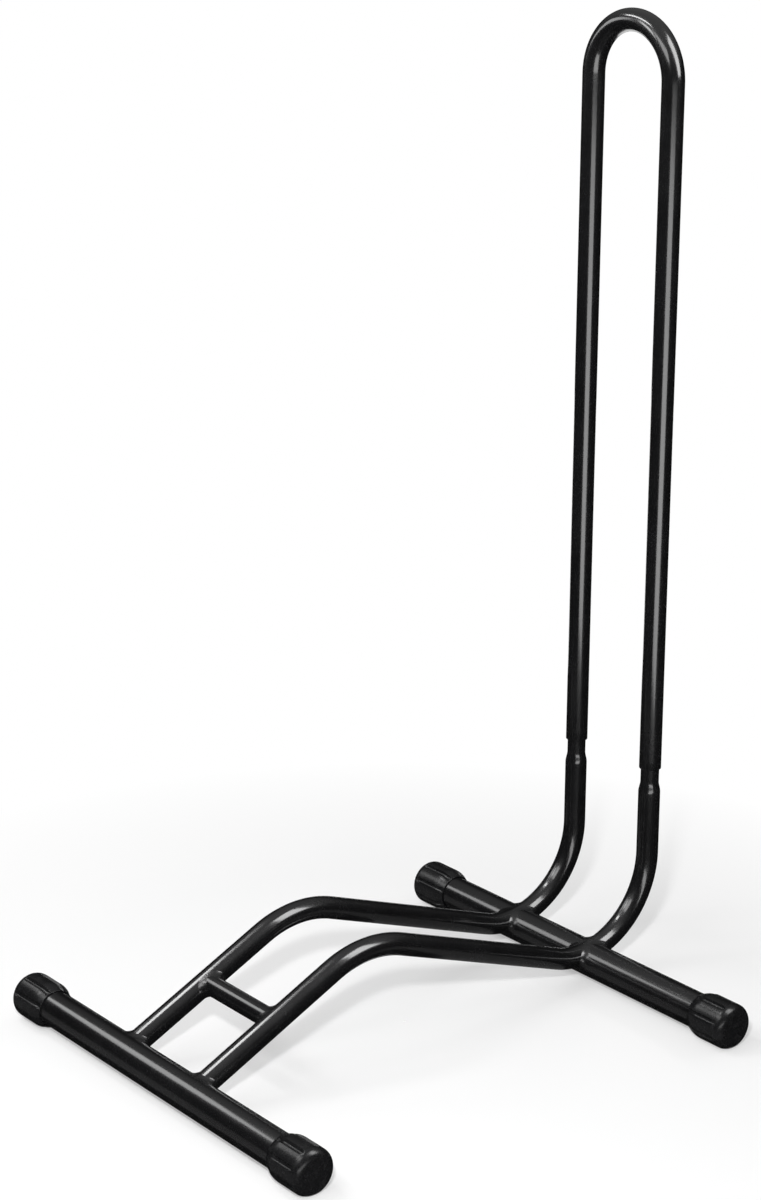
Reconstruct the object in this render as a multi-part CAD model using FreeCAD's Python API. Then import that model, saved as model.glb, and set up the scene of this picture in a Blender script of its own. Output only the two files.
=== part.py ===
import FreeCAD, Part
import math
import os

# Floor bike rack: two foot tubes, two bent rails that cradle a wheel, and a tall hoop that lifts off.
# Frame: +Z up, the wheel rolls in from -Y, +X is the right side. The origin is on the floor, in the
# middle of the rack's outline. All sizes are in millimetres and degrees.

# Bent tubes
TUBE_OD = 19.0                # rails and hoop
TUBE_WALL = 1.5
RAIL_SPACING = 94.0           # between the rails' axes, and between the hoop's legs
FRONT_SLOPE = 25.9            # climb of the rails behind the front crossbar
HUMP_BACK = 172.5             # corner of the hump behind the front crossbar's axis
HUMP_BEND = 92.0              # bend radius of the hump, on the tube's axis
LEG_BACK = 66.5               # upright legs behind the rear crossbar's axis
LEG_BEND = 78.0               # bend radius from the rear slope into the upright leg
RAIL_SEAT = 5.2               # lowest point of a rail's axis, above the rear crossbar's axis
RACK_HEIGHT = 821.0           # floor to the top of the hoop

# Foot tubes
CROSSBAR_OD = 30.0
CROSSBAR_WALL = 1.5
CROSSBAR_LENGTH = 390.0
BASE_SPAN = 418.0             # between the two crossbars' axes
FRONT_BAR_SHIFT = 8.0         # how far the front crossbar sits to the right of the wheel's plane
REAR_BAR_SHIFT = 26.0         # the same for the rear crossbar
SADDLE_GAP = 0.1              # between a rail and the saddle cut for it in the rear crossbar

# Brace between the rails
BRACE_OD = 17.0
BRACE_WALL = 1.5
BRACE_UP = 89.5               # from the front crossbar's axis, along the slope

# Spigot joint between rail and hoop
HOOP_FOOT = 179.0             # height of the hoop's lower ends
NECK_HEIGHT = 167.0           # where the rail's taper ends and the spigot begins
TAPER_LENGTH = 10.0           # from full tube down to the spigot
SPIGOT_ENGAGED = 50.0         # length of spigot inside the hoop
SPIGOT_WALL = 1.3
SPIGOT_FIT = 0.05             # radial clearance between spigot and hoop
HOOP_CHAMFER = 0.9            # outer edge of the hoop's lower ends

# Ribbed end caps
CAP_OD = 39.0                 # over the ribs
CAP_END = 4.0                 # thickness of the closed end
CAP_SKIRT = 36.5              # length that covers the crossbar
CAP_FIT = 0.05                # radial clearance on the crossbar
CAP_MOUTH_WALL = 1.2
CAP_RAMP = 9.0                # length of the taper at the mouth
CAP_ROUND = 5.0               # rounding of the closed end
CAP_RIBS = 8
CAP_GROOVE_R = 1.8            # radius of the groove between two ribs
CAP_GROOVE_DEPTH = 1.8
CAP_BAND = 9.0                # plain band between the grooves' ends and the closed end
CAP_FLAT = 1.0                # cut off under the cap, where it stands on the floor

# Welds
WELD_R = 2.4                  # radius of a weld bead
WELD_POINTS = 32              # points on the line that a bead follows
WELD_END_ERROR = 1e-7         # degrees, for the ends of the rear beads
WELD_JOIN = 0.001             # how near the two halves of a bead count as one at their ends

# Worked out from the values above
TUBE_R = TUBE_OD / 2
TUBE_BORE_R = TUBE_R - TUBE_WALL
BAR_R = CROSSBAR_OD / 2
BRACE_R = BRACE_OD / 2
CAP_R = CAP_OD / 2
BAR_Z = CAP_R - CAP_FLAT
DEPTH = CAP_R + BASE_SPAN + LEG_BACK + TUBE_R
FRONT_Y = CAP_R - DEPTH / 2
REAR_Y = FRONT_Y + BASE_SPAN
LEG_Y = REAR_Y + LEG_BACK
WHEEL_X = -(FRONT_BAR_SHIFT + REAR_BAR_SHIFT) / 2
LEFT_X = WHEEL_X - RAIL_SPACING / 2
RIGHT_X = WHEEL_X + RAIL_SPACING / 2
HUMP_Y = FRONT_Y + HUMP_BACK
HUMP_Z = BAR_Z + HUMP_BACK * math.tan(math.radians(FRONT_SLOPE))
BEND_Y = LEG_Y - LEG_BEND     # centre of the large bend
BEND_Z = BAR_Z + RAIL_SEAT + LEG_BEND
BEND_FAR = math.hypot(BEND_Y - HUMP_Y, BEND_Z - HUMP_Z)
REAR_FALL = math.asin(LEG_BEND / BEND_FAR) - math.atan2(BEND_Z - HUMP_Z, BEND_Y - HUMP_Y)   # radians
CORNER_Z = HUMP_Z - (LEG_Y - HUMP_Y) * math.tan(REAR_FALL)
SPIGOT_R = TUBE_BORE_R - SPIGOT_FIT
TAPER_FOOT = NECK_HEIGHT - TAPER_LENGTH
LEG_JOIN_Z = TAPER_FOOT - TUBE_OD
SPIGOT_TOP = HOOP_FOOT + SPIGOT_ENGAGED
ARCH_R = RAIL_SPACING / 2
ARCH_Z = RACK_HEIGHT - TUBE_R - ARCH_R
AXIS_X = FreeCAD.Vector(1, 0, 0)
AXIS_Z = FreeCAD.Vector(0, 0, 1)


def vec(x, y, z):
    return FreeCAD.Vector(x, y, z)


def bent_path(corners, radii):
    """Straight runs through the corners, each inner corner rounded by a tangent arc of its radius."""
    edges = []
    start = corners[0]
    for before, corner, after, radius in zip(corners, corners[1:], corners[2:], radii):
        back = (before - corner).normalize()
        ahead = (after - corner).normalize()
        half = back.getAngle(ahead) / 2
        run = radius / math.tan(half)
        middle = (back + ahead).normalize()
        arc_start = corner + back * run
        arc_end = corner + ahead * run
        arc_top = corner + middle * (radius / math.sin(half) - radius)
        edges.append(Part.LineSegment(start, arc_start).toShape())
        edges.append(Part.Arc(arc_start, arc_top, arc_end).toShape())
        start = arc_end
    edges.append(Part.LineSegment(start, corners[-1]).toShape())
    return Part.Wire(edges)


def swept_rod(path, radius):
    """Solid rod of one radius along a smooth path."""
    first = path.Edges[0]
    start = first.valueAt(first.FirstParameter)
    heading = first.tangentAt(first.FirstParameter)
    section = Part.Wire([Part.makeCircle(radius, start, heading)])
    shell = Part.BRepOffsetAPI.MakePipeShell(path)
    shell.add(section)
    shell.build()
    shell.makeSolid()
    return shell.shape()


def rod(radius, start, end):
    """Straight solid rod between two points."""
    along = end - start
    return Part.makeCylinder(radius, along.Length, start, along)


def turned(profile, origin, axis):
    """Solid of revolution of a closed outline given as points and, for arcs, point triples."""
    edges = []
    for item in profile:
        if len(item) == 2:
            edges.append(Part.LineSegment(item[0], item[1]).toShape())
        else:
            edges.append(Part.Arc(item[0], item[1], item[2]).toShape())
    return Part.Face(Part.Wire(edges)).revolve(origin, axis, 360)


def rail_corners(x):
    """Corners of one rail's axis, from inside the front crossbar to the foot of the taper."""
    return [
        vec(x, FRONT_Y, BAR_Z),
        vec(x, HUMP_Y, HUMP_Z),
        vec(x, LEG_Y, CORNER_Z),
        vec(x, LEG_Y, LEG_JOIN_Z),
    ]


def rail_envelope(x, radius):
    """The bent part of a rail as a solid rod."""
    return swept_rod(bent_path(rail_corners(x), [HUMP_BEND, LEG_BEND]), radius)


def spigot_outline(x, full_r, neck_r, top):
    """Closed half outline of the leg: full tube, taper, and neck up to the top."""
    axis_low = vec(x, LEG_Y, LEG_JOIN_Z)
    axis_top = vec(x, LEG_Y, top)
    points = [
        axis_low,
        vec(x + full_r, LEG_Y, LEG_JOIN_Z),
        vec(x + full_r, LEG_Y, TAPER_FOOT),
        vec(x + neck_r, LEG_Y, NECK_HEIGHT),
        vec(x + neck_r, LEG_Y, top),
        axis_top,
    ]
    return list(zip(points, points[1:] + points[:1]))


def spigot_leg(x, full_r, neck_r):
    return turned(spigot_outline(x, full_r, neck_r, SPIGOT_TOP), vec(x, LEG_Y, 0), AXIS_Z)


def make_rail(x):
    """Bent tube with a coped front end and a necked spigot at the top."""
    outside = rail_envelope(x, TUBE_R).fuse(spigot_leg(x, TUBE_R, SPIGOT_R))
    bore = rail_envelope(x, TUBE_BORE_R).fuse(spigot_leg(x, TUBE_BORE_R, SPIGOT_R - SPIGOT_WALL))
    rail = outside.cut(bore).cut(crossbar_envelope(FRONT_Y, FRONT_BAR_SHIFT))
    return rail.removeSplitter()


def crossbar_ends(y, shift):
    """The two ends of a crossbar's axis."""
    middle = WHEEL_X + shift
    return (
        vec(middle - CROSSBAR_LENGTH / 2, y, BAR_Z),
        vec(middle + CROSSBAR_LENGTH / 2, y, BAR_Z),
    )


def crossbar_envelope(y, shift):
    return rod(BAR_R, *crossbar_ends(y, shift))


def make_crossbar(y, shift):
    return crossbar_envelope(y, shift).cut(rod(BAR_R - CROSSBAR_WALL, *crossbar_ends(y, shift)))


def make_rear_crossbar():
    """The rear foot tube, cut away where the two rails lie in it."""
    bar = make_crossbar(REAR_Y, REAR_BAR_SHIFT)
    for x in (LEFT_X, RIGHT_X):
        bar = bar.cut(rail_envelope(x, TUBE_R + SADDLE_GAP))
    return bar


def slope_point(x, distance):
    """Point on a rail's axis on the front slope, at a distance from the front crossbar's axis."""
    slope = math.radians(FRONT_SLOPE)
    return vec(x, FRONT_Y + distance * math.cos(slope), BAR_Z + distance * math.sin(slope))


def make_brace():
    """Short tube between the rails, coped to both."""
    left = slope_point(LEFT_X, BRACE_UP)
    right = slope_point(RIGHT_X, BRACE_UP)
    brace = rod(BRACE_R, left, right).cut(rod(BRACE_R - BRACE_WALL, left, right))
    for x in (LEFT_X, RIGHT_X):
        brace = brace.cut(rail_envelope(x, TUBE_R))
    return brace


def hoop_path():
    """Axis of the hoop: up the left leg, over the half circle, down the right leg."""
    left_foot = vec(LEFT_X, LEG_Y, HOOP_FOOT)
    left_top = vec(LEFT_X, LEG_Y, ARCH_Z)
    crown = vec(WHEEL_X, LEG_Y, ARCH_Z + ARCH_R)
    right_top = vec(RIGHT_X, LEG_Y, ARCH_Z)
    right_foot = vec(RIGHT_X, LEG_Y, HOOP_FOOT)
    return Part.Wire([
        Part.LineSegment(left_foot, left_top).toShape(),
        Part.Arc(left_top, crown, right_top).toShape(),
        Part.LineSegment(right_top, right_foot).toShape(),
    ])


def is_hoop_foot_edge(edge):
    """True for the outer circle of an open end of the hoop."""
    box = edge.BoundBox
    return box.ZMax < HOOP_FOOT + HOOP_CHAMFER and abs(box.XLength - TUBE_OD) < SPIGOT_FIT


def make_hoop():
    hoop = swept_rod(hoop_path(), TUBE_R).cut(swept_rod(hoop_path(), TUBE_BORE_R))
    rims = [edge for edge in hoop.Edges if is_hoop_foot_edge(edge)]
    return hoop.makeChamfer(HOOP_CHAMFER, rims)


def cap_body():
    """Turned body of a cap. The mouth is at x = 0 and the closed end at +X; the axis is the X axis."""
    length = CAP_SKIRT + CAP_END
    bore = BAR_R + CAP_FIT
    edge_r = CAP_R - CAP_ROUND
    bend = CAP_ROUND * (1 - math.sqrt(0.5))
    return turned([
        (vec(0, 0, bore), vec(0, 0, BAR_R + CAP_MOUTH_WALL)),
        (vec(0, 0, BAR_R + CAP_MOUTH_WALL), vec(CAP_RAMP, 0, CAP_R)),
        (vec(CAP_RAMP, 0, CAP_R), vec(length - CAP_ROUND, 0, CAP_R)),
        (vec(length - CAP_ROUND, 0, CAP_R), vec(length - bend, 0, CAP_R - bend), vec(length, 0, edge_r)),
        (vec(length, 0, edge_r), vec(length, 0, 0)),
        (vec(length, 0, 0), vec(CAP_SKIRT, 0, 0)),
        (vec(CAP_SKIRT, 0, 0), vec(CAP_SKIRT, 0, bore)),
        (vec(CAP_SKIRT, 0, bore), vec(0, 0, bore)),
    ], vec(0, 0, 0), AXIS_X)


def cap_groove(angle):
    """Round-bottomed groove between two ribs, open at the mouth and round at its other end."""
    length = CAP_SKIRT + CAP_END - CAP_BAND
    centre_r = CAP_R - CAP_GROOVE_DEPTH + CAP_GROOVE_R
    groove = Part.makeCylinder(CAP_GROOVE_R, length, vec(0, 0, centre_r), AXIS_X)
    groove = groove.fuse(Part.makeSphere(CAP_GROOVE_R, vec(length, 0, centre_r)))
    groove.rotate(vec(0, 0, 0), AXIS_X, angle)
    return groove


def make_cap(y, shift, side):
    """Ribbed end cap on one end of a crossbar. One rib points straight down and is flat underneath."""
    cap = cap_body()
    pitch = 360 / CAP_RIBS
    for rib in range(CAP_RIBS):
        cap = cap.cut(cap_groove(180 + (rib + 0.5) * pitch))
    below = Part.makeBox(CAP_OD * 2, CAP_OD * 2, CAP_OD, vec(-CAP_OD, -CAP_OD, -BAR_Z - CAP_OD))
    cap = cap.cut(below)
    if side < 0:
        cap.rotate(vec(0, 0, 0), AXIS_Z, 180)
    mouth = WHEEL_X + shift + side * (CROSSBAR_LENGTH / 2 - CAP_SKIRT)
    cap.translate(vec(mouth, y, BAR_Z))
    return cap


def bead_along(points):
    """Round weld bead along a closed smooth line through the points, swept in two halves."""
    line = Part.BSplineCurve()
    line.interpolate(Points=points, PeriodicFlag=True)
    middle = (line.FirstParameter + line.LastParameter) / 2
    halves = []
    for low, high in ((line.FirstParameter, middle), (middle, line.LastParameter)):
        halves.append(swept_rod(Part.Wire([line.toShape(low, high)]), WELD_R))
    return halves[0].fuse([halves[1]], WELD_JOIN)


def turn_angles():
    return [2 * math.pi * step / WELD_POINTS for step in range(WELD_POINTS)]


def front_weld(x):
    """Bead on the line where a rail's outside meets the front crossbar's outside."""
    slope = math.radians(FRONT_SLOPE)
    ahead = vec(0, math.cos(slope), math.sin(slope))
    across = vec(0, -math.sin(slope), math.cos(slope))
    points = []
    for angle in turn_angles():
        rise = TUBE_R * math.sin(angle)
        reach = math.sqrt(BAR_R ** 2 - rise ** 2)
        side = AXIS_X * (TUBE_R * math.cos(angle))
        points.append(slope_point(x, 0) + side + across * rise + ahead * reach)
    bead = bead_along(points)
    bead = bead.cut(crossbar_envelope(FRONT_Y, FRONT_BAR_SHIFT))
    return bead.cut(rail_envelope(x, TUBE_R))


def off_axis(angle):
    """How far outside the large bend's axis a point of the rear crossbar's surface lies."""
    y = REAR_Y + BAR_R * math.cos(angle)
    z = BAR_Z + BAR_R * math.sin(angle)
    return math.hypot(y - BEND_Y, z - BEND_Z) - LEG_BEND


def touch_angle(inside, outside):
    """Angle on the rear crossbar between two angles, where its surface meets the rail's underside."""
    while abs(outside - inside) > math.radians(WELD_END_ERROR):
        middle = (inside + outside) / 2
        if off_axis(middle) < TUBE_R:
            inside = middle
        else:
            outside = middle
    return inside


def rear_weld(x):
    """Bead on the line where a rail's outside meets the rear crossbar's outside, round both sides."""
    top = math.radians(90)
    rear = touch_angle(top, math.radians(-90))
    front = touch_angle(top, math.radians(270))
    middle = (front + rear) / 2
    swing = (front - rear) / 2
    points = []
    for angle in turn_angles():
        round_bar = middle + swing * math.cos(angle)
        half_width = math.sqrt(max(TUBE_R ** 2 - off_axis(round_bar) ** 2, 0))
        side = math.copysign(half_width, math.sin(angle))
        y = REAR_Y + BAR_R * math.cos(round_bar)
        z = BAR_Z + BAR_R * math.sin(round_bar)
        points.append(vec(x + side, y, z))
    bead = bead_along(points)
    bead = bead.cut(crossbar_envelope(REAR_Y, REAR_BAR_SHIFT))
    return bead.cut(rail_envelope(x, TUBE_R + SADDLE_GAP))


def brace_weld(x, inward):
    """Bead on the line where the brace's outside meets a rail's outside."""
    slope = math.radians(FRONT_SLOPE)
    ahead = vec(0, math.cos(slope), math.sin(slope))
    across = vec(0, -math.sin(slope), math.cos(slope))
    points = []
    for angle in turn_angles():
        rise = BRACE_R * math.sin(angle)
        reach = math.sqrt(TUBE_R ** 2 - rise ** 2)
        run = ahead * (BRACE_R * math.cos(angle))
        points.append(slope_point(x, BRACE_UP) + run + across * rise + AXIS_X * (inward * reach))
    bead = bead_along(points)
    bead = bead.cut(rod(BRACE_R, slope_point(LEFT_X, BRACE_UP), slope_point(RIGHT_X, BRACE_UP)))
    return bead.cut(rail_envelope(x, TUBE_R))


def save(name, shape):
    """Write one node, after a check that it is one sound solid."""
    if not shape.isValid() or len(shape.Solids) != 1:
        raise ValueError(name + " is not one sound solid")
    solid = shape.Solids[0]
    solid.exportStep(os.path.join("parts", name + ".step"))
    print("%-18s %10.1f mm3" % (name, solid.Volume))


def main():
    os.makedirs("parts", exist_ok=True)
    save("front_crossbar", make_crossbar(FRONT_Y, FRONT_BAR_SHIFT))
    save("rear_crossbar", make_rear_crossbar())
    for end, y, shift in (("front", FRONT_Y, FRONT_BAR_SHIFT), ("rear", REAR_Y, REAR_BAR_SHIFT)):
        save(end + "_left_cap", make_cap(y, shift, -1))
        save(end + "_right_cap", make_cap(y, shift, 1))
    save("rail_brace", make_brace())
    save("upper_hoop", make_hoop())
    for side, x, inward in (("left", LEFT_X, 1), ("right", RIGHT_X, -1)):
        save(side + "_rail", make_rail(x))
        save("front_" + side + "_weld", front_weld(x))
        save("rear_" + side + "_weld", rear_weld(x))
        save("brace_" + side + "_weld", brace_weld(x, inward))


main()
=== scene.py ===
import math

import bmesh
import bpy
import numpy as np
from mathutils import Matrix, Vector


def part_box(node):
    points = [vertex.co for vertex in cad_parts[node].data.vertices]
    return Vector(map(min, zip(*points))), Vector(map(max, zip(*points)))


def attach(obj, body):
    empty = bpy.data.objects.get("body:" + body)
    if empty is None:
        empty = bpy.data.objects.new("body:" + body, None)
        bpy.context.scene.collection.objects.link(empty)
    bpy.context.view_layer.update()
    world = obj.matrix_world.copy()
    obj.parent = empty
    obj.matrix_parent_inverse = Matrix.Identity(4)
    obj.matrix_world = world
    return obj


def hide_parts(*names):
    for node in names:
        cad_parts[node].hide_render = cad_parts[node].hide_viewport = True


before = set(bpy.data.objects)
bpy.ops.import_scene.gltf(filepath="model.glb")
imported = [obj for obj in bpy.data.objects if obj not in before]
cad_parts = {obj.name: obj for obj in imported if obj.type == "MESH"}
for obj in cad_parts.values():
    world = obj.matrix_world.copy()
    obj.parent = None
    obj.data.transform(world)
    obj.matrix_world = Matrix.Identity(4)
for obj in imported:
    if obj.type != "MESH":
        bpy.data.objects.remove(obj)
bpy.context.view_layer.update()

bl_info = {
    "name": "Floor bike rack",
    "version": (1, 0, 0),
    "blender": (4, 5, 0),
    "location": "3D View > Sidebar > Bike Rack",
    "description": "Dresses a tubular steel floor bike rack: tubes, welds, ribbed end caps and a studio",
    "category": "Object",
}

# Everything is in metres. +Z is up, the wheel rolls in from -Y, and +X is the right side.
MM = 0.001

# Points round a tube, and round the thinner brace.
TUBE_COLUMNS = 72
BRACE_COLUMNS = 64

# Share of its leg by which a hand-laid weld wanders wider and narrower.
WELD_WANDER = 0.05

# Points of the line that a weld follows, before they are spaced evenly.
WELD_LINE_POINTS = 360

# Rings of a cap's lip, its bore and the inner side of its end, where no groove is cut.
LIP_RINGS = 5
BORE_RINGS = 10
INNER_END_RINGS = 5

# Light that the white world adds.
WORLD_FILL = 0.28

# The black tent: radius, height of its lower edge, and radiance low down and straight overhead.
TENT_R = 3.0
TENT_FOOT = 2 * MM
TENT_DARK = 0.01
TENT_TOP = 0.3

# The floor: radius, share of the light that it sends back, share of plain white that the camera sees under
# its shading close to the rack, and the two distances from the middle between which that share grows to 1.
FLOOR_R = 14.0
FLOOR_ALBEDO = 0.95
FLOOR_LIFT = 0.4
FLOOR_FADE = (0.32, 0.62)

# Cards just over the floor, with their radiance: sectors as (distance, height) pairs between two azimuths in
# degrees, and rectangles between two corners.
SECTOR_CARDS = (
    ("floor_card", ((0.66, 0.004), (2.6, 0.004), (2.6, 0.35)), (46, 92), 2.9),
    ("back_floor_card", ((0.9, 0.004), (2.3, 0.004)), (-152, -112), 1.2),
)
RECTANGLE_CARDS = (
    ("front_bar_floor_card", (-0.42, -0.42), (0.26, -0.264), 0.1),
    ("rear_bar_floor_card", (-0.3, 0.04), (0.25, 0.156), 0.1),
)
RECTANGLE_HEIGHT = 3 * MM

# Soft boxes: azimuth, elevation and distance from LAMP_CENTRE, the two sides, the radiance, the direction of
# the first side (level where it is None), and what the box does. They face LAMP_AIM.
LAMPS = (
    ("front_soft_box", (5, 42, 1.35), (0.95, 0.5), 3, None, "both"),
    ("bar_hot_spot", (-64, 24, 1.3), (0.42, 0.4), 2.6, None, "both"),
    ("left_hot_spot", (-38, 36, 1.3), (0.3, 0.35), 6, None, "both"),
    ("rail_hot_strip", (-53, 57, 1.3), (0.7, 0.14), 11, (0.64, -0.17, 0.27), "both"),
    ("right_soft_box", (118, 42, 1.3), (0.6, 1.15), 6, None, "reflections"),
    ("low_front_key", (47, 26, 2), (0.12, 0.12), 670, None, "surfaces"),
    ("back_strip", (175, 30, 1.7), (1.6, 0.15), 4, None, "surfaces"),
)
LAMP_CENTRE = Vector((0, 0, 0.4))
LAMP_AIM = Vector((0, 0, 0.25))


# ---------------------------------------------------------------- places that the frame gives

def middle(node):
    """Centre and half sizes of a node's box, to a twentieth of a millimetre, because facets cut corners."""
    low, high = (np.array(corner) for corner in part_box(node))
    step = 0.05 * MM
    return np.round((low + high) / 2 / step) * step, np.round((high - low) / 2 / step) * step


FRONT_BAR, FRONT_BAR_HALF = middle("front_crossbar")
REAR_BAR, REAR_BAR_HALF = middle("rear_crossbar")
HOOP, HOOP_HALF = middle("upper_hoop")
BRACE, BRACE_HALF = middle("rail_brace")
LEFT_RAIL, LEFT_RAIL_HALF = middle("left_rail")
CAP, CAP_HALF = middle("front_right_cap")

BAR_R = float(FRONT_BAR_HALF[1])
BAR_Z = float(FRONT_BAR[2])
TUBE_R = float(LEFT_RAIL_HALF[0])
LEG_Y = float(HOOP[1])
LEFT_X = float(LEFT_RAIL[0])
RIGHT_X = float(middle("right_rail")[0][0])
BRACE_R = float(BRACE_HALF[2])
HOOP_FOOT = float(HOOP[2] - HOOP_HALF[2])
HOOP_TOP = float(HOOP[2] + HOOP_HALF[2])
SPIGOT_TOP = float(LEFT_RAIL[2] + LEFT_RAIL_HALF[2])
CAP_R = float(CAP[2] + CAP_HALF[2]) - BAR_Z
CAP_LENGTH = float(2 * CAP_HALF[0])


# ---------------------------------------------------------------- settings

def length(name, about, default):
    """A length in metres for a settings group."""
    return bpy.props.FloatProperty(name=name, description=about, default=default, unit="LENGTH", precision=5)


def turn(name, about, degrees):
    """An angle for a settings group, given here in degrees."""
    angle = math.radians(degrees)
    return bpy.props.FloatProperty(name=name, description=about, default=angle, unit="ROTATION")


def paint(name, about, hex_colour):
    """A colour for a settings group, given as sRGB hex."""
    return bpy.props.FloatVectorProperty(
        name=name, description=about, default=linear(hex_colour), subtype="COLOR", size=3, min=0, max=1)


def linear(hex_colour):
    """sRGB hex, such as "1a1a1b", to linear red, green and blue."""
    srgb = np.array([int(hex_colour[i:i + 2], 16) for i in (0, 2, 4)]) / 255
    return tuple(float(c) for c in np.where(srgb <= 0.04045, srgb / 12.92, ((srgb + 0.055) / 1.055) ** 2.4))


class BikeRackTubes(bpy.types.PropertyGroup):
    """Sizes of the bent tubes, the foot tubes and the welds"""
    wall: length("Tube wall", "Wall thickness of every tube", 1.5 * MM)
    front_slope: turn("Front slope", "Climb of the rails behind the front foot tube", 25.9)
    hump_back: length("Hump corner", "Corner of the hump behind the front foot tube's axis", 172.5 * MM)
    hump_bend: length("Hump bend", "Bend radius of the hump, on the tube's axis", 92 * MM)
    leg_bend: length("Leg bend", "Bend radius from the rear slope into the upright leg", 78 * MM)
    rail_seat: length("Rail seat", "Lowest point of a rail's axis above the rear foot tube's axis", 5.2 * MM)
    taper_foot: length("Taper foot", "Height where the rail starts to narrow", 157 * MM)
    neck_height: length("Neck height", "Height where the rail is as narrow as its spigot", 167 * MM)
    spigot_fit: length("Spigot fit", "Clearance between spigot and hoop", 0.05 * MM)
    saddle_gap: length("Saddle gap", "Clearance between a rail and its saddle in the rear foot", 0.1 * MM)
    rim: length("Tube rim", "Rounding of a cut tube's edges", 0.6 * MM)
    weld_leg: length("Weld leg", "Reach of a weld over each of the two tubes", 4.6 * MM)
    weld_fill: bpy.props.FloatProperty(name="Weld fill", description="0 is a hollow weld, 1 is a flat one",
                                       default=0.5, min=0, max=1)
    weld_sink: length("Weld sink", "Depth of a weld's edges under the tubes' skins", 0.08 * MM)
    weld_ripple: length("Weld ripple", "Distance between two ripples of a weld", 1.9 * MM)
    weld_ripple_height: length("Weld ripple height", "Height of the ripples", 0.1 * MM)


class BikeRackCaps(bpy.types.PropertyGroup):
    """Sizes of the ribbed end caps"""
    ribs: bpy.props.IntProperty(name="Ribs", description="Ribs round each cap", default=8, min=3, max=24)
    groove: length("Groove", "Radius and depth of the groove between two ribs", 2.3 * MM)
    groove_skin: length("Groove skin", "Wall that a groove leaves over the bore", 0.5 * MM)
    band: length("Plain band", "Band between the grooves' ends and the closed end", 9 * MM)
    ramp: length("Ramp", "Length of the taper at the mouth", 11.5 * MM)
    mouth_wall: length("Mouth wall", "Wall at the mouth", 1.2 * MM)
    end_wall: length("End wall", "Thickness of the closed end", 4 * MM)
    rounding: length("End rounding", "Rounding of the closed end", 7 * MM)
    fit: length("Fit", "Clearance between a cap and its foot tube", 0.05 * MM)
    edge: length("Rib edge", "Softness of the edges between ribs and grooves", 0.25 * MM)


class BikeRackFinish(bpy.types.PropertyGroup):
    """Colours of the finishes and of the studio"""
    enamel: paint("Enamel", "Gloss black powder coat of the steel tubes", "101011")
    bore: paint("Tube bore", "Uncoated steel inside the tubes", "4a4846")
    plastic: paint("Cap plastic", "Moulded plastic of the end caps", "151516")
    scuff: paint("Scuffs", "Rubbed places on the plastic", "272728")
    floor: paint("Floor", "Plain floor and background", "ffffff")


class BikeRackStudio(bpy.types.PropertyGroup):
    """Camera and light"""
    azimuth: turn("Camera azimuth", "Round the rack from the front, towards the right side", 51.462)
    elevation: turn("Camera elevation", "Above the horizon", 17.187)
    roll: turn("Camera roll", "Turn about the line of sight", 0.222)
    distance: length("Camera distance", "From the camera to the point that it looks at", 2.2324)
    target: bpy.props.FloatVectorProperty(
        name="Camera target", description="Point that the camera looks at",
        default=(0.00112, -0.02825, 0.37568), subtype="TRANSLATION", unit="LENGTH", size=3)
    lens: bpy.props.FloatProperty(
        name="Lens", description="Focal length in millimetres, for 36 mm along the picture's long side",
        default=84.45)


# ---------------------------------------------------------------- meshes

def new_object(name, data):
    """Object of the scene that shows a mesh, lamp or camera."""
    item = bpy.data.objects.new(name, data)
    bpy.context.scene.collection.objects.link(item)
    return item


def finish_piece(name, mesh, materials, body, node, sharp_angle=35):
    """Turn a mesh into a piece of the rack: shading, materials and body, and hide the frame's node that it
    stands for.
    """
    piece = new_object(name, mesh)
    for material in materials:
        mesh.materials.append(material)
    mesh.polygons.foreach_set("use_smooth", np.ones(len(mesh.polygons), bool))
    mesh.set_sharp_from_angle(angle=math.radians(sharp_angle))
    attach(piece, body)
    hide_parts(node)
    return piece


def grid_faces(rows, columns, close_rows):
    """Corner numbers of the quads of a grid whose columns wrap round, and whose rows do if close_rows."""
    row = np.arange(rows if close_rows else rows - 1)[:, None]
    column = np.arange(columns)[None, :]
    right = (column + 1) % columns
    above = (row + 1) % rows
    return np.stack([
        np.broadcast_to(row * columns + column, (len(row), columns)),
        row * columns + right,
        above * columns + right,
        np.broadcast_to(above * columns + column, (len(row), columns)),
    ], axis=-1).reshape(-1, 4)


def mesh_from(name, points, quads, triangles=None, bore_faces=None):
    """Mesh of points, quads and triangles. bore_faces marks the quads that take the second material."""
    loops = quads.ravel()
    starts = np.arange(len(quads)) * 4
    if triangles is not None:
        loops = np.concatenate([loops, triangles.ravel()])
        starts = np.concatenate([starts, len(quads) * 4 + np.arange(len(triangles)) * 3])
    mesh = bpy.data.meshes.new(name)
    mesh.vertices.add(len(points))
    mesh.vertices.foreach_set("co", points.astype(np.float32).ravel())
    mesh.loops.add(len(loops))
    mesh.loops.foreach_set("vertex_index", loops.astype(np.int32))
    mesh.polygons.add(len(starts))
    mesh.polygons.foreach_set("loop_start", starts.astype(np.int32))
    if bore_faces is not None:
        index = np.zeros(len(starts), np.int32)
        index[:len(bore_faces)] = bore_faces
        mesh.polygons.foreach_set("material_index", index)
    mesh.update(calc_edges=True)
    mesh.validate()
    return mesh


def pole_fans(rows, columns):
    """Triangles that close both ends of an open grid of rings. The two poles follow the grid's points."""
    column = np.arange(columns)
    right = (column + 1) % columns
    last = (rows - 1) * columns
    poles = rows * columns + np.repeat([[0], [1]], columns, 1)
    return np.concatenate([
        np.stack([right, column, poles[0]], 1),
        np.stack([last + column, last + right, poles[1]], 1),
    ])


def face_outwards(mesh):
    """Point the faces of a closed mesh outwards."""
    work = bmesh.new()
    work.from_mesh(mesh)
    bmesh.ops.recalc_face_normals(work, faces=work.faces)
    work.to_mesh(mesh)
    work.free()
    return mesh


# ---------------------------------------------------------------- tubes along a path

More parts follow.
